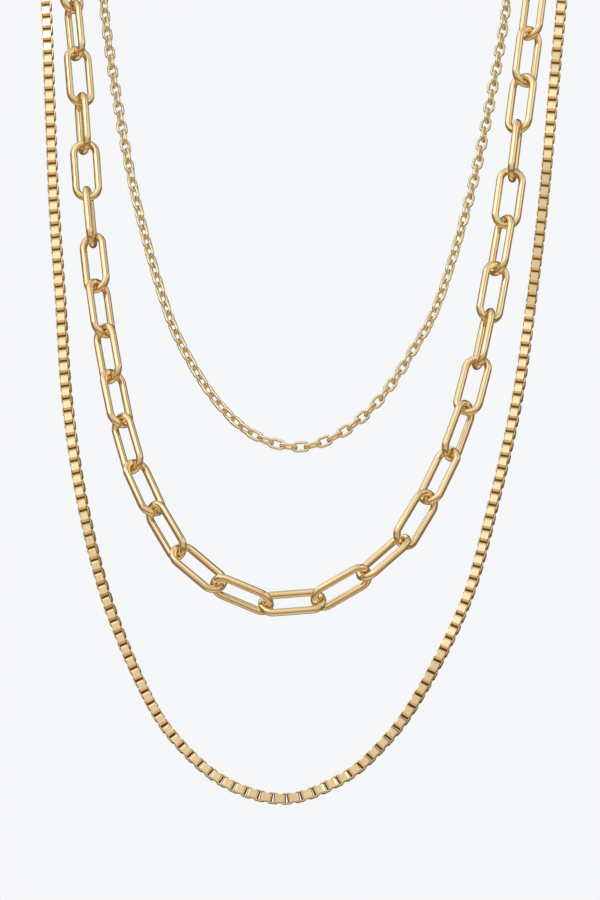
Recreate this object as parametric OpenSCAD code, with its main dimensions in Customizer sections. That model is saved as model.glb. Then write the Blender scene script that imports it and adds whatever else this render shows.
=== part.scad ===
// Layered necklace of three chains that meet in one clasp at the nape of the neck:
// a fine cable chain, a paperclip chain and a box chain, in polished gold colour.
// Millimetres. +Z is up, -Y is the wearer's front, and the clasp is at the origin.

/* [Fine cable strand] */
// Outer length of one oval link
cable_link_l = 3.65; // [3.4:0.05:4]
// Outer width of one oval link
cable_link_w = 2.25; // [2.15:0.05:2.6]
// Wire diameter of an oval link
cable_wire_d = 0.6; // [0.52:0.02:0.64]

/* [Paperclip strand] */
// Outer length of one long link
paperclip_link_l = 13.3; // [12.5:0.1:15]
// Outer width of one long link
paperclip_link_w = 5.75; // [5.4:0.05:6.4]
// Wire diameter of a long link
paperclip_wire_d = 1.42; // [1.2:0.02:1.6]

/* [Box strand] */
// Width across the flats of the box chain
box_chain_w = 2; // [1.6:0.1:2.4]
// Length of an end cap's barrel
cap_l = 4; // [3:0.5:6]
// Wall of an end cap, at its side and its closed end
cap_wall = 0.5; // [0.3:0.1:0.8]
// Wire diameter of the eye on an end cap
cap_eye_wire_d = 0.8; // [0.6:0.1:1]
// Inner diameter of the eye on an end cap
cap_eye_inner_d = 1.8; // [1.6:0.1:2.4]

/* [Clasp] */
// Height of the clasp's barrel
clasp_h = 16; // [15:0.5:20]
// Diameter of the clasp's barrel
clasp_d = 3.6; // [3:0.2:5]
// Chamfer at both ends of the clasp's barrel
clasp_chamfer = 0.5; // [0.2:0.1:0.8]
// Height between two neighbouring strands at the clasp
strand_step = 5.5; // [5:0.1:6]
// Wire diameter of the clasp's eyes
eye_wire_d = 1; // [0.8:0.1:1.2]
// Inner diameter of the clasp's eyes
eye_inner_d = 2.2; // [2:0.1:2.8]

/* [Clearances] */
// Least play between two linked oval links
cable_play = 0.15; // [0.12:0.01:0.2]
// Least play between two linked long links
paperclip_play = 0.4; // [0.3:0.05:0.5]
// Play between the box chain's eyes and the clasp's
cap_play = 0.2; // [0.15:0.05:0.4]
// Gap between the box chain and its end caps
cap_gap = 0.12; // [0.1:0.01:0.2]

/* [Hidden] */
$fn = 24;

// Routes of the strands round the neck, from the wearer's right side of the clasp by the front
// to its left side. Each holds the points chosen between the two ends at the clasp.
cable_route = [
    [-11.5, -1, 5.5], [-19, -4, 5.5], [-27, -10, 5], [-33.5, -19, 1.5], [-37.5, -31, -7.5],
    [-39, -43, -22], [-38.5, -53, -37], [-35.5, -66.5, -57], [-31.5, -80, -77],
    [-26, -93, -96.5], [-22, -99.5, -106], [-16, -106, -115.5], [-9, -110.5, -122],
    [-0.5, -112, -124.5], [7.5, -110.5, -122], [15, -106, -115.5], [21.5, -99.5, -106],
    [26.5, -93, -96.5], [32.5, -80, -77], [37, -66.5, -57], [40.5, -53, -37],
    [41, -43, -22], [38.5, -31, -7.5], [34, -19, 1.5], [27, -10, 5], [19, -4, 5.5],
    [11.5, -1, 5.5]
];
paperclip_route = [
    [-10.5, -0.5, 0], [-18, -2.5, 0], [-28.5, -8, -0.5], [-38, -16.5, -2.5],
    [-44.5, -28, -6], [-47, -41, -12.5], [-47, -52.5, -23.5], [-44.5, -59, -37.5],
    [-42.5, -67, -57], [-41, -74.5, -75.5], [-39, -83, -93], [-36, -92.5, -110.5],
    [-31.5, -102, -128], [-23, -110, -144], [-16, -112.5, -150], [-7, -114, -154],
    [3, -113.5, -153.5], [12, -112.5, -148.5], [19.5, -110, -142], [28.5, -103, -125.5],
    [34, -95, -108.5], [39.5, -83, -81], [42, -76, -63], [45.5, -65.5, -38],
    [47.5, -54.5, -23.5], [47.5, -41, -12.5], [44.5, -28, -6], [38, -16.5, -2.5],
    [28.5, -8, -0.5], [18, -2.5, 0], [10.5, -0.5, 0]
];
box_route = [
    [-25, -3.5, -6], [-35, -11.5, -8], [-43.5, -22, -10.5], [-49.5, -34, -14],
    [-52, -47, -19.5], [-51, -56.5, -27], [-49.5, -62.5, -37.5], [-48.5, -69.5, -57],
    [-47.5, -76.5, -77], [-46, -83.5, -96], [-44.5, -90.5, -115.5], [-41.5, -97.5, -134.5],
    [-36.5, -104.5, -153.5], [-28.5, -111.5, -172], [-21.5, -115, -181.5],
    [-13, -117, -188], [-2.5, -118, -190.5], [7.5, -116.5, -187], [14.5, -114.5, -181.5],
    [22, -111.5, -172], [31.5, -104.5, -153.5], [37, -97.5, -134.5], [41.5, -90.5, -115.5],
    [44.5, -83.5, -96], [47, -76.5, -77], [49, -69.5, -57], [51, -63, -37.5],
    [52.5, -56.5, -27], [53, -47, -19.5], [50, -34, -14], [43.5, -22, -10.5],
    [35, -11.5, -8], [25, -3.5, -6]
];

// Where the strands pass over the sides of the neck, from the front to the nape
front_z = -37;
nape_z = -5;
// Short straight steps that a smooth route has between two of its points
route_steps = 12;

// Turn of each front long link about its own length, in degrees, from the wearer's right side
// down to the lowest link and up again. 0 faces the front, and at a positive turn the leg on
// the outside of the loop comes forward.
front_turns = [
    -59, 26, -70, 2, 83, -28, 45, -42, 40, -42, 38, -41, 35, -40,
    42,
    -34, 62, -27, 42, -48, 14, 75, -24, 58, -6, -80, 30, -32, 45
];
front_links = len(front_turns);

// Turn of the fine strand's links along the way, in degrees
// [share of the strand's length, turn]
cable_turns = [
    [0, 45], [0.2, 45], [0.25, 25], [0.29, 25], [0.33, 45], [0.46, 45], [0.5, 20], [0.54, 20],
    [0.6, 45], [0.64, 45], [0.68, 20], [0.75, 20], [0.8, 45], [1, 45]
];

// Sides of the box chain's tube, and the rings along it
tube_sides = 8;
tube_rings = 80;

// Distance of the clasp's eyes' far inside edge from the clasp's middle
eye_reach = clasp_d / 2 + eye_wire_d / 2 + eye_inner_d;
cap_eye_x = eye_reach - cap_play + cap_eye_inner_d / 2;
cap_x = cap_eye_x + (cap_eye_inner_d + cap_eye_wire_d) / 2;
cap_bore_r = box_chain_w / 2 / cos(180 / tube_sides) + cap_gap;
tube_x = cap_x + cap_wall + cap_gap;
straight_end = [for (i = [0:2]) tube_x + i * (cap_x + cap_l - tube_x + 1)];

// A smooth curve through b and c, between its neighbours a and d, at share t of the way
function curve(a, b, c, d, t) =
    (2 * b + (c - a) * t + (2 * a - 5 * b + 4 * c - d) * t * t
        + (3 * b - a - 3 * c + d) * t * t * t) / 2;

// The smooth curve through a list of points, as short straight steps
function smooth(p) = [
    for (i = [0:len(p) - 2])
        let (
            before = i == 0 ? 2 * p[0] - p[1] : p[i - 1],
            after = i == len(p) - 2 ? 2 * p[i + 1] - p[i] : p[i + 2]
        )
        for (j = [0:route_steps - 1]) curve(before, p[i], p[i + 1], after, j / route_steps),
    p[len(p) - 1]
];

// Distance walked along a list of points up to each one
function walked(p) = [
    for (i = 0, s = 0; i < len(p); i = i + 1, s = s + (i < len(p) ? norm(p[i] - p[i - 1]) : 0)) s
];

// A strand is three look-up tables, of x, y and z by the distance walked
function strand(p) =
    let (q = smooth(p), s = walked(q))
    [for (axis = [0:2]) [for (i = [0:len(q) - 1]) [s[i], q[i][axis]]]];
function strand_length(way) = way[0][len(way[0]) - 1][0];
function place(way, s) = [for (axis = [0:2]) lookup(s, way[axis])];
function unit(v) = v / norm(v);

// The direction that a link without turn faces: to the front, and over the neck half upwards
function facing(p) = [0, -1, min(1, max(0, (p.z - front_z) / (nape_z - front_z)))];
function square_to(v, a) = unit(v - (v * a) * a);

// Direction of a link's width, for a link along a at the place p and with the given turn
function width_way(p, a, turn) =
    let (n = square_to(facing(p), a))
    cos(turn) * cross(a, n) + sin(turn) * n;

// Links of a strand: enough of them that each has at least its play
function link_count(way, l, d, play) = ceil(strand_length(way) / (l - 2 * d - play));

cable = strand(concat(
    [[-eye_reach + cable_play / 2, 0, strand_step]],
    cable_route,
    [[eye_reach - cable_play / 2, 0, strand_step]]
));
cable_count = link_count(cable, cable_link_l, cable_wire_d, cable_play);
cable_pitch = strand_length(cable) / cable_count;
function cable_turn(k) = lookup((k + 0.5) / cable_count, cable_turns) + (k % 2 == 0 ? 0 : 90);

paperclip = strand(concat(
    [[-eye_reach + paperclip_play / 2, 0, 0]],
    paperclip_route,
    [[eye_reach - paperclip_play / 2, 0, 0]]
));
paperclip_count = link_count(paperclip, paperclip_link_l, paperclip_wire_d, paperclip_play);
paperclip_pitch = strand_length(paperclip) / paperclip_count;
first_front = round((paperclip_count - front_links) / 2);
last_front = first_front + front_links - 1;
function hidden_turn(steps, beside) = (steps % 2 == 1 ? -45 : 45) * sign(beside);
function paperclip_turn(k) =
    k < first_front ? hidden_turn(first_front - k, front_turns[0])
    : k > last_front ? hidden_turn(k - last_front, front_turns[front_links - 1])
    : front_turns[k - first_front];

box_chain_way = strand(concat(
    [for (x = straight_end) [-x, 0, -strand_step]],
    box_route,
    [for (i = [2:-1:0]) [straight_end[i], 0, -strand_step]]
));

// Names of the front long links, each a piece of its own
function two_digits(n) = str(n < 10 ? "0" : "", n);
function link_name(i) = str("paperclip_link_", two_digits(i));

// A ring of round wire in the XY plane
module ring(inner_d, wire_d) {
    rotate_extrude() translate([(inner_d + wire_d) / 2, 0]) circle(d = wire_d);
}

// A link of round wire with two straight legs and round ends, along X and flat in the XY plane
module link(l, w, wire_d) {
    bend_r = (w - wire_d) / 2;
    leg = l - w;
    for (end = [-1, 1]) {
        translate([end * leg / 2, 0, 0])
            rotate([0, 0, -90 * end])
                rotate_extrude(angle = 180) translate([bend_r, 0]) circle(d = wire_d);
        translate([-leg / 2, end * bend_r, 0]) rotate([0, 90, 0]) cylinder(h = leg, d = wire_d);
    }
}

// Puts a flat link in its place: the link numbered k of a strand
module hang(way, pitch, k, turn) {
    from = place(way, k * pitch);
    to = place(way, (k + 1) * pitch);
    middle = (from + to) / 2;
    a = unit(to - from);
    w = width_way(middle, a, turn);
    t = cross(a, w);
    multmatrix([
        [a.x, w.x, t.x, middle.x],
        [a.y, w.y, t.y, middle.y],
        [a.z, w.z, t.z, middle.z],
        [0, 0, 0, 1]
    ]) children();
}

module cable_chain() {
    color("gold")
        for (k = [0:cable_count - 1])
            hang(cable, cable_pitch, k, cable_turn(k)) link(cable_link_l, cable_link_w, cable_wire_d);
}

module paperclip_links(from, to) {
    color("goldenrod")
        for (k = [from:to])
            hang(paperclip, paperclip_pitch, k, paperclip_turn(k))
                link(paperclip_link_l, paperclip_link_w, paperclip_wire_d);
}

// The box chain as a tube of its outer size, with one ring of corners at each step
module box_chain() {
    corner_r = box_chain_w / 2 / cos(180 / tube_sides);
    step = strand_length(box_chain_way) / (tube_rings - 1);
    corners = [
        for (i = [0:tube_rings - 1])
            let (
                p = place(box_chain_way, i * step),
                a = unit(place(box_chain_way, i * step + step / 4) - place(box_chain_way, i * step - step / 4)),
                u = width_way(p, a, 0),
                n = cross(u, a)
            )
            for (side = [0:tube_sides - 1])
                let (angle = (side + 0.5) * 360 / tube_sides)
                p + corner_r * (cos(angle) * u + sin(angle) * n)
    ];
    sides = [
        for (i = [0:tube_rings - 2])
            for (side = [0:tube_sides - 1])
                let (next = (side + 1) % tube_sides, here = i * tube_sides)
                [here + side, here + next, here + next + tube_sides, here + side + tube_sides]
    ];
    start = [for (side = [tube_sides - 1:-1:0]) side];
    end = [for (side = [0:tube_sides - 1]) (tube_rings - 1) * tube_sides + side];
    color("darkgoldenrod") polyhedron(corners, concat([start], sides, [end]));
}

// A barrel closed at its inner end, with an eye that hangs in the clasp's, along +X
module end_cap() {
    color("khaki")
        translate([0, 0, -strand_step]) {
            difference() {
                translate([cap_x, 0, 0])
                    rotate([0, 90, 0]) cylinder(h = cap_l, r = cap_bore_r + cap_wall);
                translate([cap_x + cap_wall, 0, 0])
                    rotate([0, 90, 0]) cylinder(h = cap_l, r = cap_bore_r);
            }
            translate([cap_eye_x, 0, 0]) rotate([90, 0, 0]) ring(cap_eye_inner_d, cap_eye_wire_d);
        }
}

// One of the clasp's eyes on its +X side, turned about X to stand across a link
module eye(z, turn) {
    translate([eye_reach - eye_inner_d / 2, 0, z]) rotate([turn, 0, 0]) ring(eye_inner_d, eye_wire_d);
}

// Turn about X of an eye that stands across the link whose width goes along w
function across(w) = atan2(w.y, -w.z);
function first_width(way, pitch, turn) =
    let (from = place(way, 0), to = place(way, pitch))
    width_way((from + to) / 2, unit(to - from), turn);
function last_width(way, pitch, turn) =
    let (end = strand_length(way), from = place(way, end - pitch), to = place(way, end))
    width_way((from + to) / 2, unit(to - from), turn);

module clasp() {
    right_cable = across(first_width(cable, cable_pitch, cable_turn(0)));
    left_cable = across(last_width(cable, cable_pitch, cable_turn(cable_count - 1)));
    right_clip = across(first_width(paperclip, paperclip_pitch, paperclip_turn(0)));
    left_clip = across(last_width(paperclip, paperclip_pitch, paperclip_turn(paperclip_count - 1)));
    color("gold") {
        translate([0, 0, -clasp_h / 2 + clasp_chamfer])
            cylinder(h = clasp_h - 2 * clasp_chamfer, d = clasp_d);
        for (end = [0, 1])
            mirror([0, 0, end])
                translate([0, 0, clasp_h / 2 - clasp_chamfer])
                    cylinder(h = clasp_chamfer, d1 = clasp_d, d2 = clasp_d - 2 * clasp_chamfer);
        rotate([0, 0, 180]) eye(strand_step, -right_cable);
        eye(strand_step, left_cable);
        rotate([0, 0, 180]) eye(0, -right_clip);
        eye(0, left_clip);
        rotate([0, 0, 180]) eye(-strand_step, 0);
        eye(-strand_step, 0);
    }
}

cable_chain();
for (i = [1:front_links]) {
    paperclip_links(first_front + i - 1, first_front + i - 1);
}
paperclip_links(0, first_front - 1);  // paperclip_chain_back_right
paperclip_links(last_front + 1, paperclip_count - 1);  // paperclip_chain_back_left
box_chain();
mirror([1, 0, 0]) end_cap();  // box_chain_cap_right
end_cap();  // box_chain_cap_left
clasp();
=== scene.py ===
"""Layered necklace: the looks of its three chains, their end pieces and a plain pale studio."""

import math

import bpy
from bpy.props import FloatProperty, FloatVectorProperty, PointerProperty
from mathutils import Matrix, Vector


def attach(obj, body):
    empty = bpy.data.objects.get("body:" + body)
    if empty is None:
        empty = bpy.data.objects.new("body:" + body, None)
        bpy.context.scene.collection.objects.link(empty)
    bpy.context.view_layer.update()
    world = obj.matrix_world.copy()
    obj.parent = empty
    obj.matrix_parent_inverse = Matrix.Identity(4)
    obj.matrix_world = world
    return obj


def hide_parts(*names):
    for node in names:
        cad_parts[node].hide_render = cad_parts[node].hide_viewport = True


bl_info = {
    "name": "Layered Necklace",
    "version": (1, 0, 0),
    "blender": (4, 5, 0),
    "location": "3D View > Sidebar > Necklace",
    "description": "Builds the cable, paperclip and box chains of a layered necklace and its studio",
    "category": "Add Mesh",
}

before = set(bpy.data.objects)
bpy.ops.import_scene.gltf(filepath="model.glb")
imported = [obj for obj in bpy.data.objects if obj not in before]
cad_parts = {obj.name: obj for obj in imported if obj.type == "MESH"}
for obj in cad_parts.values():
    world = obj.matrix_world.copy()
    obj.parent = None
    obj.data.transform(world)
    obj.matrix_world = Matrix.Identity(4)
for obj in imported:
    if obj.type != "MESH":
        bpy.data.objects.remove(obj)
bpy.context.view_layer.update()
BODY = "root"
MM = 0.001

# The strands' routes and the end pieces, in millimetres, as in the part's source

CABLE_ROUTE = (
    (-11.5, -1, 5.5), (-19, -4, 5.5), (-27, -10, 5), (-33.5, -19, 1.5), (-37.5, -31, -7.5),
    (-39, -43, -22), (-38.5, -53, -37), (-35.5, -66.5, -57), (-31.5, -80, -77),
    (-26, -93, -96.5), (-22, -99.5, -106), (-16, -106, -115.5), (-9, -110.5, -122),
    (-0.5, -112, -124.5), (7.5, -110.5, -122), (15, -106, -115.5), (21.5, -99.5, -106),
    (26.5, -93, -96.5), (32.5, -80, -77), (37, -66.5, -57), (40.5, -53, -37),
    (41, -43, -22), (38.5, -31, -7.5), (34, -19, 1.5), (27, -10, 5), (19, -4, 5.5),
    (11.5, -1, 5.5),
)
PAPERCLIP_ROUTE = (
    (-10.5, -0.5, 0), (-18, -2.5, 0), (-28.5, -8, -0.5), (-38, -16.5, -2.5), (-44.5, -28, -6),
    (-47, -41, -12.5), (-47, -52.5, -23.5), (-44.5, -59, -37.5), (-42.5, -67, -57),
    (-41, -74.5, -75.5), (-39, -83, -93), (-36, -92.5, -110.5), (-31.5, -102, -128),
    (-23, -110, -144), (-16, -112.5, -150), (-7, -114, -154), (3, -113.5, -153.5),
    (12, -112.5, -148.5), (19.5, -110, -142), (28.5, -103, -125.5), (34, -95, -108.5),
    (39.5, -83, -81), (42, -76, -63), (45.5, -65.5, -38), (47.5, -54.5, -23.5),
    (47.5, -41, -12.5), (44.5, -28, -6), (38, -16.5, -2.5), (28.5, -8, -0.5), (18, -2.5, 0),
    (10.5, -0.5, 0),
)
BOX_ROUTE = (
    (-25, -3.5, -6), (-35, -11.5, -8), (-43.5, -22, -10.5), (-49.5, -34, -14),
    (-52, -47, -19.5), (-51, -56.5, -27), (-49.5, -62.5, -37.5), (-48.5, -69.5, -57),
    (-47.5, -76.5, -77), (-46, -83.5, -96), (-44.5, -90.5, -115.5), (-41.5, -97.5, -134.5),
    (-36.5, -104.5, -153.5), (-28.5, -111.5, -172), (-21.5, -115, -181.5), (-13, -117, -188),
    (-2.5, -118, -190.5), (7.5, -116.5, -187), (14.5, -114.5, -181.5), (22, -111.5, -172),
    (31.5, -104.5, -153.5), (37, -97.5, -134.5), (41.5, -90.5, -115.5), (44.5, -83.5, -96),
    (47, -76.5, -77), (49, -69.5, -57), (51, -63, -37.5), (52.5, -56.5, -27),
    (53, -47, -19.5), (50, -34, -14), (43.5, -22, -10.5), (35, -11.5, -8), (25, -3.5, -6),
)
CLASP_D = 3.6
EYE_WIRE_D = 1.0
EYE_INNER_D = 2.2
CAP_L = 4.0
CAP_WALL = 0.5
CAP_EYE_WIRE_D = 0.8
CAP_EYE_INNER_D = 1.8
# Height between two neighbouring strands at the clasp
STRAND_STEP = 5.5
# Least play between two linked links, and between the eyes of a cap and the clasp
CABLE_PLAY = 0.15
PAPERCLIP_PLAY = 0.4
CAP_PLAY = 0.2
# Gap between the box chain and its end caps
CAP_GAP = 0.12
# Where the strands pass over the sides of the neck, from the front to the nape
FRONT_Z = -37.0
NAPE_Z = -5.0
# Short straight steps that a smooth route has between two of its points
ROUTE_STEPS = 12

# Turn of each front paperclip link about its length, in degrees, as in the part's source
FRONT_TURNS = (
    -59, 26, -70, 2, 83, -28, 45, -42, 40, -42, 38, -41, 35, -40,
    42,
    -34, 62, -27, 42, -48, 14, 75, -24, 58, -6, -80, 30, -32, 45,
)
# Turn to either side of the hidden paperclip links, in degrees
BACK_TURN = 45
# Share of the strand's length, and the turn of its links there, in degrees
CABLE_TURNS = (
    (0, 45), (0.2, 45), (0.25, 25), (0.29, 25), (0.33, 45), (0.46, 45), (0.5, 20), (0.54, 20),
    (0.6, 45), (0.64, 45), (0.68, 20), (0.75, 20), (0.8, 45), (1, 45),
)
BOX_TURNS = (
    (0, 0), (0.14, -8), (0.2, -5), (0.24, -4), (0.26, -8), (0.40, -9),
    (0.47, 9), (0.60, 12), (0.68, 12), (0.71, 4), (0.76, 4), (0.785, 8), (1, 0),
)

# Gap left between two linked links of the visual model, in metres
CABLE_GAP = 0.00003
PAPERCLIP_GAP = 0.00005
# Length of the box chain's tube that its links leave free at each end, in millimetres
BOX_MARGIN = 0.35
# Sides of a link's round wire, and the straight steps of each of its four bends
CABLE_SIDES, CABLE_BEND_STEPS = 8, 4
PAPERCLIP_SIDES, PAPERCLIP_BEND_STEPS = 20, 10
# Corner radius of a band link and eased edge of its band, as shares of the band's thickness,
# and the straight steps that each is bent in
BAND_CORNER, BAND_CORNER_STEPS = 1.7, 2
BAND_EDGE, BAND_EDGE_STEPS = 0.35, 1
# Bend radius of a wire link as a share of its width from wire to wire, just short of a half
WIRE_BEND = 0.4995


def curve(a, b, c, d, t):
    """The smooth curve from b to c between their neighbours a and d, at share t."""
    return (
        2 * b + (c - a) * t + (2 * a - 5 * b + 4 * c - d) * t * t + (3 * b - a - 3 * c + d) * t ** 3
    ) / 2


class Strand:
    """A strand's smooth route, which gives its place at any distance walked along it."""

    def __init__(self, points):
        p = [Vector(q) for q in points]
        self.points = []
        for i in range(len(p) - 1):
            before = 2 * p[0] - p[1] if i == 0 else p[i - 1]
            after = 2 * p[i + 1] - p[i] if i == len(p) - 2 else p[i + 2]
            for j in range(ROUTE_STEPS):
                self.points.append(curve(before, p[i], p[i + 1], after, j / ROUTE_STEPS))
        self.points.append(p[-1])
        self.walked = [0.0]
        for a, b in zip(self.points, self.points[1:]):
            self.walked.append(self.walked[-1] + (b - a).length)
        self.length = self.walked[-1]

    def place(self, s):
        """The point at distance s along the route, or its end past that."""
        s = min(max(s, 0.0), self.length)
        low, high = 0, len(self.walked) - 1
        while high - low > 1:
            middle = (low + high) // 2
            if self.walked[middle] <= s:
                low = middle
            else:
                high = middle
        share = (s - self.walked[low]) / (self.walked[high] - self.walked[low])
        return self.points[low].lerp(self.points[high], share)

    def count(self, link_l, wire_d, play):
        """Number of links that leaves each at least its play in the next one."""
        return math.ceil(self.length / (link_l - 2 * wire_d - play))


def turn_at(table, share):
    """The turn that a table of shares and turns gives at a share of the length."""
    for (s0, t0), (s1, t1) in zip(table, table[1:]):
        if share <= s1:
            return t0 + (t1 - t0) * (share - s0) / (s1 - s0)
    return table[-1][1]


def facing(p):
    """The direction that an unturned link faces: the front, and over the neck half upwards."""
    return Vector((0, -1, min(1, max(0, (p.z - FRONT_Z) / (NAPE_Z - FRONT_Z)))))


def width_way(p, along, turn):
    """Direction of a link's width, for a link along a direction with a turn in degrees."""
    f = facing(p)
    n = (f - f.dot(along) * along).normalized()
    t = math.radians(turn)
    return math.cos(t) * along.cross(n) + math.sin(t) * n


def hanging(strand, first, last, pitch, turn, start=0.0):
    """Middle in metres, length direction and width direction of the links first to last."""
    made = []
    for k in range(first, last + 1):
        a, b = strand.place(start + k * pitch), strand.place(start + (k + 1) * pitch)
        along = (b - a).normalized()
        middle = (a + b) / 2
        made.append((middle * MM, along, width_way(middle, along, turn(k))))
    return made


def between(x, z, points):
    """A strand through points whose two ends are at x to either side, at height z."""
    return Strand([(-x, 0, z), *points, (x, 0, z)])


EYE_REACH = CLASP_D / 2 + EYE_WIRE_D / 2 + EYE_INNER_D
CAP_X = EYE_REACH - CAP_PLAY + CAP_EYE_INNER_D + CAP_EYE_WIRE_D / 2
TUBE_X = CAP_X + CAP_WALL + CAP_GAP
STRAIGHT_STEP = CAP_X + CAP_L - TUBE_X + 1
CABLE = between(EYE_REACH - CABLE_PLAY / 2, STRAND_STEP, CABLE_ROUTE)
PAPERCLIP = between(EYE_REACH - PAPERCLIP_PLAY / 2, 0, PAPERCLIP_ROUTE)
# The box chain leaves its end caps straight
STRAIGHT_END = [TUBE_X + i * STRAIGHT_STEP for i in range(3)]
BOX = Strand(
    [(-x, 0, -STRAND_STEP) for x in STRAIGHT_END]
    + list(BOX_ROUTE)
    + [(x, 0, -STRAND_STEP) for x in reversed(STRAIGHT_END)]
)

# Settings


class NecklaceChains(bpy.types.PropertyGroup):
    """Sizes of the links."""

    cable_link_l: FloatProperty(
        name="Cable Link Length",
        description="Outer length of an oval link",
        default=0.00365,
        min=0.001,
        unit="LENGTH",
    )
    cable_link_w: FloatProperty(
        name="Cable Link Width",
        description="Outer width of an oval link",
        default=0.00225,
        min=0.001,
        unit="LENGTH",
    )
    cable_wire_d: FloatProperty(
        name="Cable Wire",
        description="Wire diameter of an oval link",
        default=0.0006,
        min=0.0001,
        unit="LENGTH",
    )
    paperclip_link_l: FloatProperty(
        name="Paperclip Link Length",
        description="Outer length of a long link",
        default=0.0133,
        min=0.005,
        unit="LENGTH",
    )
    paperclip_link_w: FloatProperty(
        name="Paperclip Link Width",
        description="Outer width of a long link",
        default=0.00575,
        min=0.003,
        unit="LENGTH",
    )
    paperclip_wire_d: FloatProperty(
        name="Paperclip Wire",
        description="Wire diameter of a long link",
        default=0.00142,
        min=0.0005,
        unit="LENGTH",
    )
    box_link_w: FloatProperty(
        name="Box Link Width",
        description="Outer width of a square link",
        default=0.00204,
        min=0.001,
        unit="LENGTH",
    )
    box_band_w: FloatProperty(
        name="Box Band Width",
        description="Width of the flat band of a square link",
        default=0.00154,
        min=0.0005,
        unit="LENGTH",
    )
    box_band_t: FloatProperty(
        name="Box Band Thickness",
        description="Thickness of the flat band",
        default=0.00024,
        min=0.0001,
        unit="LENGTH",
    )
    box_link_l: FloatProperty(
        name="Box Link Length",
        description="Outer length of a square link",
        default=0.00228,
        min=0.001,
        unit="LENGTH",
    )
    box_pitch: FloatProperty(
        name="Box Link Pitch",
        description="Distance between two box links",
        default=0.001277,
        min=0.0008,
        unit="LENGTH",
    )


class NecklaceFinish(bpy.types.PropertyGroup):
    """Colour and polish of the gold plate."""

    gold: FloatVectorProperty(
        name="Gold",
        description="Colour of the plate",
        subtype="COLOR",
        default=(0.94, 0.77, 0.49),
        min=0.0,
        max=1.0,
    )
    fine_gold: FloatVectorProperty(
        name="Fine Gold",
        description="Colour of the fine chain's plate",
        subtype="COLOR",
        default=(0.97, 0.86, 0.62),
        min=0.0,
        max=1.0,
    )
    roughness: FloatProperty(
        name="Roughness",
        description="Blur of the plate's reflections",
        default=0.05,
        min=0.0,
        max=1.0,
        subtype="FACTOR",
    )


class NecklaceStudio(bpy.types.PropertyGroup):
    """Light and backdrop."""

    backdrop: FloatVectorProperty(
        name="Backdrop",
        description="Colour behind the necklace",
        subtype="COLOR",
        default=(0.918, 0.926, 0.943),
        min=0.0,
        max=1.0,
    )
    key_power: FloatProperty(
        name="Key Light",
        description="Power of the key light, above and to the left",
        default=0.40,
        min=0.0,
        unit="POWER",
    )
    fill_power: FloatProperty(
        name="Fill Light",
        description="Power of the strip light at the right",
        default=0.16,
        min=0.0,
        unit="POWER",
    )


# Shaders


class Value:
    """A socket that is used like a number in an expression."""

    def __init__(self, shader, socket):
        self.shader, self.socket = shader, socket

    def _math(self, operation, a, b):
        return self.shader.add("ShaderNodeMath", {"operation": operation}, {0: a, 1: b}).out(0)

    def __add__(self, other):
        return self._math("ADD", self, other)

    __radd__ = __add__

    def __mul__(self, other):
        return self._math("MULTIPLY", self, other)

    __rmul__ = __mul__

    def __sub__(self, other):
        return self._math("SUBTRACT", self, other)

    def __rsub__(self, other):
        return self._math("SUBTRACT", other, self)

    def step(self, low, high):
        """Rises smoothly from 0 at low to 1 at high."""
        return self.shader.add(
            "ShaderNodeMapRange",
            {"interpolation_type": "SMOOTHSTEP"},
            {"Value": self, "From Min": low, "From Max": high},
        ).out("Result")


class Node:
    """A node and its outputs."""

    def __init__(self, shader, node):
        self.shader, self.node = shader, node

    def out(self, name):
        """An output, by name or number, as a value for expressions."""
        return Value(self.shader, self.node.outputs[name])


class Shader:
    """A node tree that is built by expressions."""

    def __init__(self, tree):
        self.tree = tree
        tree.nodes.clear()

    def add(self, kind, settings=None, sockets=None):
        """A node of a kind, with its settings made first, then its sockets' values or links."""
        node = self.tree.nodes.new(kind)
        for name, value in (settings or {}).items():
            if name == "stops":
                ramp = node.color_ramp
                while len(ramp.elements) < len(value):
                    ramp.elements.new(0.5)
                for element, (at, colour) in zip(ramp.elements, value):
                    element.position, element.color = at, colour
            else:
                setattr(node, name, value)
        for name, value in (sockets or {}).items():
            socket = node.inputs[name]
            if isinstance(value, Value):
                self.tree.links.new(value.socket, socket)
            else:
                socket.default_value = value
        return Node(self, node)

    def place(self, name):
        """Texture coordinates of a kind."""
        return self.add("ShaderNodeTexCoord").out(name)

    def noise(self, place, scale, **more):
        """Cloudy noise, whose larger forms are about one part in scale of a metre."""
        sockets = {"Vector": place, "Scale": scale, **more}
        return self.add("ShaderNodeTexNoise", None, sockets).out("Fac")

    def ramp(self, stops, share):
        """The colour of a list of stops at a share."""
        return self.add("ShaderNodeValToRGB", {"stops": stops}, {"Fac": share}).out("Color")

    def mix(self, share, a, b, way="MIX"):
        """Two colours mixed by a share."""
        settings = {"data_type": "RGBA", "blend_type": way}
        return self.add("ShaderNodeMix", settings, {"Factor": share, 6: a, 7: b}).out(2)


# Grain of the gold plate: its clouds, its scratches with their stretch, and its small dents
CLOUD_SCALE = 260.0
SCRATCH_SCALE = 2600.0
SCRATCH_STRETCH = (1.0, 1.0, 0.25)
WEAR_SCALE = 900.0
# Share of the scratches and of the dents in the plate's relief
SCRATCH_RELIEF = 0.1
WEAR_RELIEF = 1.2
# Share of the plate's tone that its deepest clouds keep, in red, green and blue
DEEP_SHARE = (0.94, 0.88, 0.76)
# The roughness set by the user lies in the middle of what the clouds and scratches add
ROUGH_CLOUD = 0.03
ROUGH_SCRATCH = 0.02
ROUGH_MIDDLE = 0.025


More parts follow.
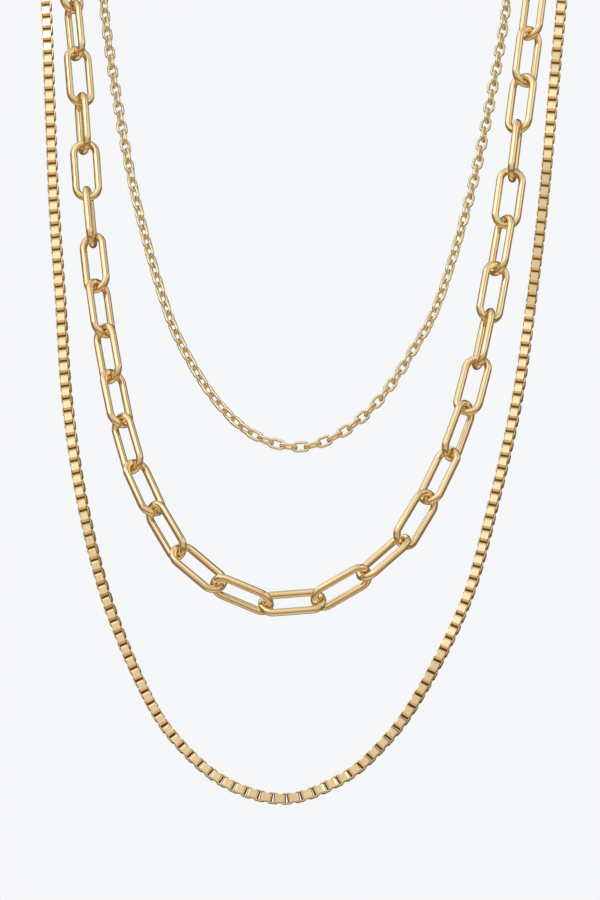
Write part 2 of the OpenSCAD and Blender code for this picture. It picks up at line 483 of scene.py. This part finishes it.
def polished_gold(name, tone, roughness):
    """Polished gold plate: cloudy tone and polish, fine scratches and small dents of wear."""
    material = bpy.data.materials.new(name)
    material.use_nodes = True
    shader = Shader(material.node_tree)
    place = shader.place("Object")
    cloud = shader.noise(place, CLOUD_SCALE, Detail=3.0)
    mapping = {"Vector": place, "Scale": SCRATCH_STRETCH}
    stretched = shader.add("ShaderNodeMapping", None, mapping).out(0)
    scratch = shader.noise(stretched, SCRATCH_SCALE, Detail=4.0, Roughness=0.6)
    wear = shader.noise(place, WEAR_SCALE, Detail=2.0)
    deep = tuple(c * s for c, s in zip(tone, DEEP_SHARE))
    relief = scratch * SCRATCH_RELIEF + wear * WEAR_RELIEF
    bump = shader.add(
        "ShaderNodeBump",
        None,
        {"Strength": 0.03, "Distance": 0.00001, "Height": relief},
    )
    body = shader.add(
        "ShaderNodeBsdfPrincipled",
        None,
        {
            "Base Color": shader.mix(cloud, (*tone, 1), (*deep, 1)),
            "Metallic": 1.0,
            "Roughness": cloud * ROUGH_CLOUD + scratch * ROUGH_SCRATCH + (roughness - ROUGH_MIDDLE),
            "Specular IOR Level": 0.6,
            "Normal": bump.out("Normal"),
        },
    )
    shader.add("ShaderNodeOutputMaterial", None, {"Surface": body.out("BSDF")})
    return material


# Roughness of the floor, and what its grain adds
FLOOR_ROUGHNESS = 0.6
FLOOR_GRAIN = 0.1
FLOOR_GRAIN_SCALE = 6.0


def pale_floor(backdrop):
    """Matt floor in the backdrop's colour."""
    paint = bpy.data.materials.new("pale_floor")
    paint.use_nodes = True
    shader = Shader(paint.node_tree)
    grain = shader.noise(shader.place("Object"), FLOOR_GRAIN_SCALE)
    body = shader.add(
        "ShaderNodeBsdfPrincipled",
        None,
        {"Base Color": (*backdrop, 1), "Roughness": grain * FLOOR_GRAIN + FLOOR_ROUGHNESS},
    )
    shader.add("ShaderNodeOutputMaterial", None, {"Surface": body.out("BSDF")})
    return paint


# What the metal mirrors: the room's tone from straight below to straight above, and from the
# viewer's side to behind the necklace
ROOM_BY_HEIGHT = (
    (0.0, (0.84, 0.76, 0.64, 1)),
    (0.10, (0.66, 0.56, 0.43, 1)),
    (0.18, (0.56, 0.45, 0.32, 1)),
    (0.23, (0.30, 0.21, 0.12, 1)),
    (0.36, (0.30, 0.21, 0.12, 1)),
    (0.40, (0.70, 0.58, 0.44, 1)),
    (0.525, (0.68, 0.57, 0.44, 1)),
    (0.60, (0.64, 0.57, 0.47, 1)),
    (0.68, (0.88, 0.84, 0.78, 1)),
    (0.80, (0.80, 0.77, 0.73, 1)),
    (1.0, (0.76, 0.73, 0.69, 1)),
)
ROOM_BY_DEPTH = (
    (0.0, (1.0, 1.0, 1.0, 1)),
    (0.60, (1.0, 1.0, 1.0, 1)),
    (0.73, (0.55, 0.52, 0.47, 1)),
    (1.0, (0.26, 0.22, 0.17, 1)),
)
SOFTBOX = (1.16, 1.16, 1.14, 1)
FLAG = (0.16, 0.12, 0.07, 1)
DARK_BEHIND = (0.10, 0.07, 0.04, 1)

# Where the studio's parts lie, as directions from the necklace: x to the right, y to the back
# and z up, each from -1 to 1. An edge is how far a part takes to fade in
EDGE = 0.03
FLAG_EDGE = 0.04
FLAG_X = 0.82
FLAG_BOTTOM, FLAG_TOP = -0.32, 0.34
# The softbox ends at a top, at a lower edge that rises to the right from this x and z, and at a
# right edge that leans outwards from this x and z
SOFTBOX_TOP = 0.90
SOFTBOX_LOW_X, SOFTBOX_LOW_Z, SOFTBOX_RISE = -0.5, 0.50, 0.3
SOFTBOX_RIGHT_X, SOFTBOX_RIGHT_Z, SOFTBOX_LEAN = 0.02, 0.70, 1.5
TOP_FLAG_BOTTOM, TOP_FLAG_EDGE = 0.66, 0.06
TOP_FLAG_W, TOP_FLAG_FADE = 0.45, 0.10
BEHIND_Y, BEHIND_Z, BEHIND_EDGE = 0.30, 0.25, 0.12
# How far the flags and the dark part behind cover the room
FLAG_COVER, TOP_FLAG_COVER, BEHIND_COVER = 0.8, 0.7, 0.92


def room_tone(shader):
    """The studio that the metal mirrors: a wide softbox above and to the left, dark flags at the
    sides and right of the softbox, a dark part high behind the necklace, and the room's own
    tones between them."""
    parts = shader.add("ShaderNodeSeparateXYZ", None, {0: shader.place("Generated")})
    x, y, z = parts.out("X"), parts.out("Y"), parts.out("Z")
    height = shader.ramp(ROOM_BY_HEIGHT, z * 0.5 + 0.5)
    depth = shader.ramp(ROOM_BY_DEPTH, y * 0.5 + 0.5)
    room = shader.mix(1.0, height, depth, "MULTIPLY")

    level = z.step(FLAG_BOTTOM, FLAG_BOTTOM + FLAG_EDGE) * (FLAG_TOP - z).step(0.0, FLAG_EDGE)
    left_flag = (-FLAG_X - x).step(0.0, EDGE) * level
    right_flag = (x - FLAG_X).step(0.0, EDGE) * level
    left_of_edge = (z - SOFTBOX_RIGHT_Z) * SOFTBOX_LEAN - x + SOFTBOX_RIGHT_X
    top_flag = (
        (0.0 - left_of_edge).step(0.0, EDGE)
        * (left_of_edge + TOP_FLAG_W).step(0.0, TOP_FLAG_FADE)
        * (z - TOP_FLAG_BOTTOM).step(0.0, TOP_FLAG_EDGE)
    )
    flags = (left_flag + right_flag + top_flag * TOP_FLAG_COVER) * FLAG_COVER
    room = shader.mix(flags, room, FLAG)

    behind = (y - BEHIND_Y).step(0.0, BEHIND_EDGE) * (z - BEHIND_Z).step(0.0, BEHIND_EDGE)
    room = shader.mix(behind * BEHIND_COVER, room, DARK_BEHIND)

    lower = (z - SOFTBOX_LOW_Z - (x - SOFTBOX_LOW_X) * SOFTBOX_RISE).step(0.0, EDGE)
    upper = (SOFTBOX_TOP - z).step(0.0, EDGE)
    return shader.mix(lower * upper * left_of_edge.step(0.0, EDGE), room, SOFTBOX)


# Node trees that make the links


class Tree:
    """A Geometry Nodes tree with named inputs."""

    def __init__(self, name, inputs):
        self.tree = bpy.data.node_groups.new(name, "GeometryNodeTree")
        self.tree.is_modifier = True
        interface = self.tree.interface
        interface.new_socket("Geometry", in_out="INPUT", socket_type="NodeSocketGeometry")
        for socket, kind, default in inputs:
            made = interface.new_socket(socket, in_out="INPUT", socket_type=kind)
            if default is not None:
                made.default_value = default
        interface.new_socket("Geometry", in_out="OUTPUT", socket_type="NodeSocketGeometry")
        self.start = self.tree.nodes.new("NodeGroupInput")
        self.end = self.tree.nodes.new("NodeGroupOutput")

    def value(self, name):
        """The tree's own input of that name."""
        return self.start.outputs[name]

    def add(self, kind, settings=None, sockets=None):
        """A node of a kind, with its settings made first, then its sockets' values or links."""
        node = self.tree.nodes.new(kind)
        for name, value in (settings or {}).items():
            setattr(node, name, value)
        for name, value in (sockets or {}).items():
            if isinstance(value, bpy.types.NodeSocket):
                self.tree.links.new(value, node.inputs[name])
            else:
                node.inputs[name].default_value = value
        return node

    def sum(self, operation, a, b):
        """Two numbers put together by an operation."""
        return self.add("ShaderNodeMath", {"operation": operation}, {0: a, 1: b}).outputs[0]

    def direction(self, name):
        """The vector that each point of the input carries under a name."""
        settings = {"data_type": "FLOAT_VECTOR"}
        return self.add("GeometryNodeInputNamedAttribute", settings, {"Name": name}).outputs[0]

    def oblong(self, width, height):
        """The outline of an oblong."""
        return self.add(
            "GeometryNodeCurvePrimitiveQuadrilateral",
            {"mode": "RECTANGLE"},
            {"Width": width, "Height": height},
        ).outputs[0]

    def rounded(self, outline, steps, radius):
        """An outline whose corners are bent in straight steps."""
        return self.add(
            "GeometryNodeFilletCurve",
            {"mode": "POLY"},
            {"Curve": outline, "Count": steps, "Radius": radius},
        ).outputs[0]

    def swept(self, outline, profile, smooth):
        """A profile swept along an outline, with smooth or crisp shading."""
        mesh = self.add(
            "GeometryNodeCurveToMesh",
            None,
            {"Curve": outline, "Profile Curve": profile},
        ).outputs[0]
        shading = {"Geometry": mesh, "Shade Smooth": smooth}
        return self.add("GeometryNodeSetShadeSmooth", None, shading).outputs[0]

    def finish(self, link):
        """Puts a link on each point of the input, and closes the tree."""
        turned = self.add(
            "FunctionNodeAxesToRotation",
            {"primary_axis": "X", "secondary_axis": "Y"},
            {"Primary Axis": self.direction("along"), "Secondary Axis": self.direction("across")},
        )
        placed = self.add(
            "GeometryNodeInstanceOnPoints",
            None,
            {"Points": self.value("Geometry"), "Instance": link, "Rotation": turned.outputs[0]},
        )
        real = self.add("GeometryNodeRealizeInstances", None, {"Geometry": placed.outputs[0]})
        dressed = self.add(
            "GeometryNodeSetMaterial",
            None,
            {"Geometry": real.outputs[0], "Material": self.value("Material")},
        )
        self.tree.links.new(dressed.outputs[0], self.end.inputs[0])
        return self.tree


def wire_link_tree():
    """Links of round wire with straight legs and round ends."""
    tree = Tree(
        "Wire Links",
        (
            ("Length", "NodeSocketFloat", 0.0133),
            ("Width", "NodeSocketFloat", 0.00575),
            ("Wire", "NodeSocketFloat", 0.00142),
            ("Sides", "NodeSocketInt", PAPERCLIP_SIDES),
            ("Bend Steps", "NodeSocketInt", PAPERCLIP_BEND_STEPS),
            ("Material", "NodeSocketMaterial", None),
        ),
    )
    wire = tree.value("Wire")
    long = tree.sum("SUBTRACT", tree.value("Length"), wire)
    wide = tree.sum("SUBTRACT", tree.value("Width"), wire)
    bend = tree.sum("MULTIPLY", wide, WIRE_BEND)
    outline = tree.rounded(tree.oblong(long, wide), tree.value("Bend Steps"), bend)
    profile = tree.add(
        "GeometryNodeCurvePrimitiveCircle",
        {"mode": "RADIUS"},
        {"Resolution": tree.value("Sides"), "Radius": tree.sum("MULTIPLY", wire, 0.5)},
    )
    return tree.finish(tree.swept(outline, profile.outputs[0], True))


def band_link_tree():
    """Square links bent from a flat band, with rounded corners and crisp edges."""
    tree = Tree(
        "Band Links",
        (
            ("Length", "NodeSocketFloat", 0.00228),
            ("Width", "NodeSocketFloat", 0.00204),
            ("Band Width", "NodeSocketFloat", 0.00154),
            ("Band Thickness", "NodeSocketFloat", 0.00024),
            ("Material", "NodeSocketMaterial", None),
        ),
    )
    thick = tree.value("Band Thickness")
    long = tree.sum("SUBTRACT", tree.value("Length"), thick)
    wide = tree.sum("SUBTRACT", tree.value("Width"), thick)
    corner = tree.sum("MULTIPLY", thick, BAND_CORNER)
    edge = tree.sum("MULTIPLY", thick, BAND_EDGE)
    outline = tree.rounded(tree.oblong(long, wide), BAND_CORNER_STEPS, corner)
    section = tree.oblong(thick, tree.value("Band Width"))
    profile = tree.rounded(section, BAND_EDGE_STEPS, edge)
    return tree.finish(tree.swept(outline, profile, False))


def shared(name, make, *values):
    """A material or tree that is made once and then shared."""
    found = bpy.data.materials.get(name) or bpy.data.node_groups.get(name)
    return found or make(*values)


def points(name, places):
    """An object with a point at each place, which carries the link's two directions."""
    mesh = bpy.data.meshes.new(name)
    mesh.from_pydata([middle for middle, along, across in places], [], [])
    for attribute, column in (("along", 1), ("across", 2)):
        data = mesh.attributes.new(attribute, "FLOAT_VECTOR", "POINT")
        for i, row in enumerate(places):
            data.data[i].vector = row[column]
    holder = bpy.data.objects.new(name, mesh)
    bpy.context.scene.collection.objects.link(holder)
    return holder


def links(name, tree, places, values):
    """One plain mesh with a link at each place."""
    holder = points(name + "_points", places)
    modifier = holder.modifiers.new("Links", "NODES")
    modifier.node_group = tree
    for item in tree.interface.items_tree:
        if item.in_out == "INPUT" and item.name in values:
            modifier[item.identifier] = values[item.name]
    seen = holder.evaluated_get(bpy.context.evaluated_depsgraph_get())
    made = bpy.data.meshes.new_from_object(seen)
    made.name = name
    if not made.polygons:
        raise RuntimeError(name + " has no faces")
    holder.modifiers.remove(modifier)
    mesh = holder.data
    bpy.data.objects.remove(holder)
    bpy.data.meshes.remove(mesh)
    piece = bpy.data.objects.new(name, made)
    bpy.context.scene.collection.objects.link(piece)
    return piece


def gold(context, name="gold_plate"):
    """The plate of a name: the fine chain's is paler than that of all other pieces."""
    finish = context.scene.necklace_finish
    tone = finish.fine_gold if name == "fine_gold_plate" else finish.gold
    return shared(name, polished_gold, name, tuple(tone), finish.roughness)


# The stage

CAMERA_PLACE = (0.0, -1.6, -0.125)
# The camera's sensor in millimetres, and in metres its distance from the chains and the height
# that the photo takes in there
SENSOR = 36.0
CHAINS_DISTANCE = 1.5
PHOTO_HEIGHT = 0.171
# The lights' places, their widths and heights, and the point that they are aimed at
LIGHTS_AIM = Vector((0, -0.08, -0.1))
KEY_PLACE, KEY_SIZE = (-0.55, -0.95, 0.95), (0.5, 0.2)
STRIP_PLACE, STRIP_SIZE = (1.0, -0.62, 0.62), (0.12, 0.5)
# Height of the floor, and how far it reaches to each side
FLOOR_Z = -0.5
FLOOR_REACH = 3


def make_floor(scene, backdrop):
    """A floor that the metal doesn't mirror."""
    mesh = bpy.data.meshes.new("floor")
    r = FLOOR_REACH
    corners = [(x, y, FLOOR_Z) for x, y in ((-r, -r), (r, -r), (r, r), (-r, r))]
    mesh.from_pydata(corners, [], [(0, 1, 2, 3)])
    mesh.materials.append(pale_floor(backdrop))
    floor = bpy.data.objects.new("floor", mesh)
    scene.collection.objects.link(floor)
    floor.visible_glossy = False


def make_world(scene, backdrop):
    """A world that is plain to the eye, and the studio's room to what mirrors it."""
    world = bpy.data.worlds.new("studio")
    scene.world = world
    world.use_nodes = True
    shader = Shader(world.node_tree)
    mirrored = shader.add("ShaderNodeLightPath").out("Is Glossy Ray")
    both = shader.mix(mirrored, (*backdrop, 1), room_tone(shader))
    light = shader.add("ShaderNodeBackground", None, {"Color": both, "Strength": 1.0})
    shader.add("ShaderNodeOutputWorld", None, {"Surface": light.out("Background")})


def make_light(scene, name, place, size, power):
    """An oblong area light that is aimed at the necklace."""
    data = bpy.data.lights.new(name, "AREA")
    data.shape = "RECTANGLE"
    data.size, data.size_y = size
    data.energy = power
    lamp = bpy.data.objects.new(name, data)
    scene.collection.objects.link(lamp)
    lamp.location = place
    lamp.rotation_euler = (LIGHTS_AIM - Vector(place)).to_track_quat("-Z", "Y").to_euler()


def make_camera(scene):
    """The level camera that gives the photo's framing."""
    data = bpy.data.cameras.new("camera")
    data.sensor_width = SENSOR
    data.lens = SENSOR * CHAINS_DISTANCE / PHOTO_HEIGHT
    data.clip_end = 50.0
    camera = bpy.data.objects.new("camera", data)
    scene.collection.objects.link(camera)
    camera.location = CAMERA_PLACE
    camera.rotation_euler = (math.radians(90), 0, 0)
    scene.camera = camera


# Operators


class NECKLACE_OT_cable_chain(bpy.types.Operator):
    """Build the fine cable chain"""

    bl_idname = "necklace.cable_chain"
    bl_label = "Cable Chain"

    def execute(self, context):
        sizes = context.scene.necklace_chains
        count = CABLE.count(sizes.cable_link_l / MM, sizes.cable_wire_d / MM, CABLE_PLAY)
        pitch = CABLE.length / count

        def turn(k):
            return turn_at(CABLE_TURNS, (k + 0.5) / count) + (0 if k % 2 == 0 else 90)

        piece = links(
            "fine_cable_chain",
            shared("Wire Links", wire_link_tree),
            hanging(CABLE, 0, count - 1, pitch, turn),
            {
                "Length": pitch * MM + 2 * sizes.cable_wire_d + CABLE_GAP,
                "Width": sizes.cable_link_w,
                "Wire": sizes.cable_wire_d,
                "Sides": CABLE_SIDES,
                "Bend Steps": CABLE_BEND_STEPS,
                "Material": gold(context, "fine_gold_plate"),
            },
        )
        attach(piece, BODY)
        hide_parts("cable_chain")
        return {"FINISHED"}


class NECKLACE_OT_paperclip_chain(bpy.types.Operator):
    """Build the long links of the paperclip chain, each front one as its own piece"""

    bl_idname = "necklace.paperclip_chain"
    bl_label = "Paperclip Chain"

    def execute(self, context):
        sizes = context.scene.necklace_chains
        link_l, wire_d = sizes.paperclip_link_l / MM, sizes.paperclip_wire_d / MM
        count = PAPERCLIP.count(link_l, wire_d, PAPERCLIP_PLAY)
        pitch = PAPERCLIP.length / count
        first = round((count - len(FRONT_TURNS)) / 2)
        last = first + len(FRONT_TURNS) - 1

        def turn(k):
            if k < first:
                side = -1 if (first - k) % 2 else 1
                return side * math.copysign(BACK_TURN, FRONT_TURNS[0])
            if k > last:
                side = -1 if (k - last) % 2 else 1
                return side * math.copysign(BACK_TURN, FRONT_TURNS[-1])
            return FRONT_TURNS[k - first]

        values = {
            "Length": pitch * MM + 2 * sizes.paperclip_wire_d + PAPERCLIP_GAP,
            "Width": sizes.paperclip_link_w,
            "Wire": sizes.paperclip_wire_d,
            "Sides": PAPERCLIP_SIDES,
            "Bend Steps": PAPERCLIP_BEND_STEPS,
            "Material": gold(context),
        }
        tree = shared("Wire Links", wire_link_tree)
        runs = [("back_right", "paperclip_chain_back_right", 0, first - 1)]
        for i in range(len(FRONT_TURNS)):
            runs.append(("%02d" % (i + 1), "paperclip_link_%02d" % (i + 1), first + i, first + i))
        runs.append(("back_left", "paperclip_chain_back_left", last + 1, count - 1))
        for label, node, start, end in runs:
            places = hanging(PAPERCLIP, start, end, pitch, turn)
            piece = links("long_link_" + label, tree, places, values)
            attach(piece, BODY)
            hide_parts(node)
        return {"FINISHED"}


class NECKLACE_OT_box_chain(bpy.types.Operator):
    """Build the box chain of square band links"""

    bl_idname = "necklace.box_chain"
    bl_label = "Box Chain"

    def execute(self, context):
        sizes = context.scene.necklace_chains
        length = BOX.length - 2 * BOX_MARGIN
        count = round(length / (sizes.box_pitch / MM))
        pitch = length / count

        def turn(k):
            return turn_at(BOX_TURNS, (k + 0.5) / count) + (90 if k % 2 == 0 else 0)

        piece = links(
            "square_box_chain",
            shared("Band Links", band_link_tree),
            hanging(BOX, 0, count - 1, pitch, turn, BOX_MARGIN),
            {
                "Length": sizes.box_link_l,
                "Width": sizes.box_link_w,
                "Band Width": sizes.box_band_w,
                "Band Thickness": sizes.box_band_t,
                "Material": gold(context),
            },
        )
        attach(piece, BODY)
        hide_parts("box_chain")
        return {"FINISHED"}


class NECKLACE_OT_clasp(bpy.types.Operator):
    """Finish the clasp and the box chain's end caps"""

    bl_idname = "necklace.clasp"
    bl_label = "Clasp and End Caps"

    def execute(self, context):
        for node in ("clasp", "box_chain_cap_right", "box_chain_cap_left"):
            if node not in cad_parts:
                raise RuntimeError("no node named " + node)
            bpy.data.objects[node].material_slots[0].material = gold(context)
        return {"FINISHED"}


class NECKLACE_OT_studio(bpy.types.Operator):
    """Set up the floor, the light and the camera"""

    bl_idname = "necklace.studio"
    bl_label = "Studio"

    def execute(self, context):
        scene = context.scene
        studio = scene.necklace_studio
        make_floor(scene, studio.backdrop)
        make_world(scene, studio.backdrop)
        make_light(scene, "key", KEY_PLACE, KEY_SIZE, studio.key_power)
        make_light(scene, "strip_right", STRIP_PLACE, STRIP_SIZE, studio.fill_power)
        make_camera(scene)
        scene.view_settings.view_transform = "Standard"
        return {"FINISHED"}


class NECKLACE_PT_panel(bpy.types.Panel):
    """Panel with the necklace's pieces"""

    bl_idname = "NECKLACE_PT_panel"
    bl_label = "Layered Necklace"
    bl_space_type = "VIEW_3D"
    bl_region_type = "UI"
    bl_category = "Necklace"

    def draw(self, context):
        column = self.layout.column()
        scene = context.scene
        for group in (scene.necklace_chains, scene.necklace_finish, scene.necklace_studio):
            for name in group.bl_rna.properties.keys():
                if name not in ("rna_type", "name"):
                    column.prop(group, name)
        for operator in OPERATORS:
            column.operator(operator.bl_idname)


GROUPS = (NecklaceChains, NecklaceFinish, NecklaceStudio)
OPERATORS = (
    NECKLACE_OT_cable_chain,
    NECKLACE_OT_paperclip_chain,
    NECKLACE_OT_box_chain,
    NECKLACE_OT_clasp,
    NECKLACE_OT_studio,
)


def register():
    for cls in (*GROUPS, *OPERATORS, NECKLACE_PT_panel):
        bpy.utils.register_class(cls)
    bpy.types.Scene.necklace_chains = PointerProperty(type=NecklaceChains)
    bpy.types.Scene.necklace_finish = PointerProperty(type=NecklaceFinish)
    bpy.types.Scene.necklace_studio = PointerProperty(type=NecklaceStudio)


def unregister():
    del bpy.types.Scene.necklace_studio
    del bpy.types.Scene.necklace_finish
    del bpy.types.Scene.necklace_chains
    for cls in reversed((*GROUPS, *OPERATORS, NECKLACE_PT_panel)):
        bpy.utils.unregister_class(cls)


def main():
    register()
    for operator in OPERATORS:
        area, name = operator.bl_idname.split(".")
        getattr(getattr(bpy.ops, area), name)()


if __name__ == "__main__":
    main()
